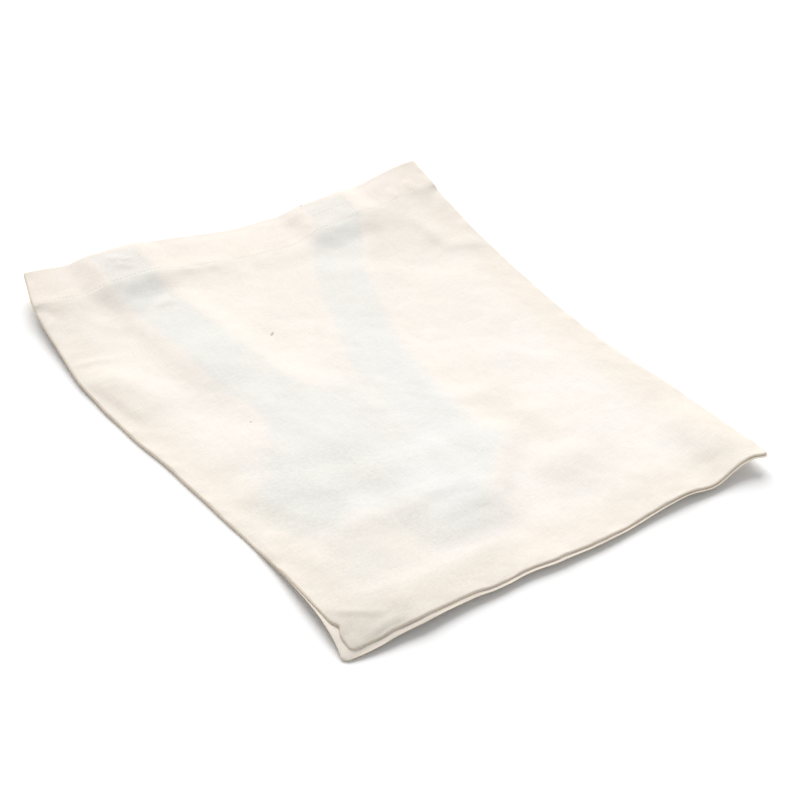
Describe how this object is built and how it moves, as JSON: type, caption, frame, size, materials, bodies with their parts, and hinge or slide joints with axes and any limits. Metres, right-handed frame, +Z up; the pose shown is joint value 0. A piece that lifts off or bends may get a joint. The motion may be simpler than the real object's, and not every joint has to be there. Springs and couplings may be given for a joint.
{
  "type": "cotton tote bag",
  "caption": "Flat cotton tote bag lying face up with its long handles tucked inside, hemmed at the mouth and sewn at the sides and bottom.",
  "frame": {"origin": "bottom centre of the bag as it lies, on the surface under it", "axes": "+Z up, +Y towards the mouth, +X across the bag, to the right when the mouth points away"},
  "size_m": [0.4001, 0.458, 0.0204],
  "materials": {
    "cream_cotton": "unbleached plain-weave cotton, matt, with small seed flecks",
    "white_cotton": "bleached plain-weave cotton strap, matt"
  },
  "bodies": {
    "root": {"lower_panel": "cream_cotton", "upper_panel": "cream_cotton", "handle_lower": "white_cotton", "handle_upper": "white_cotton"}
  },
  "joints": []
}
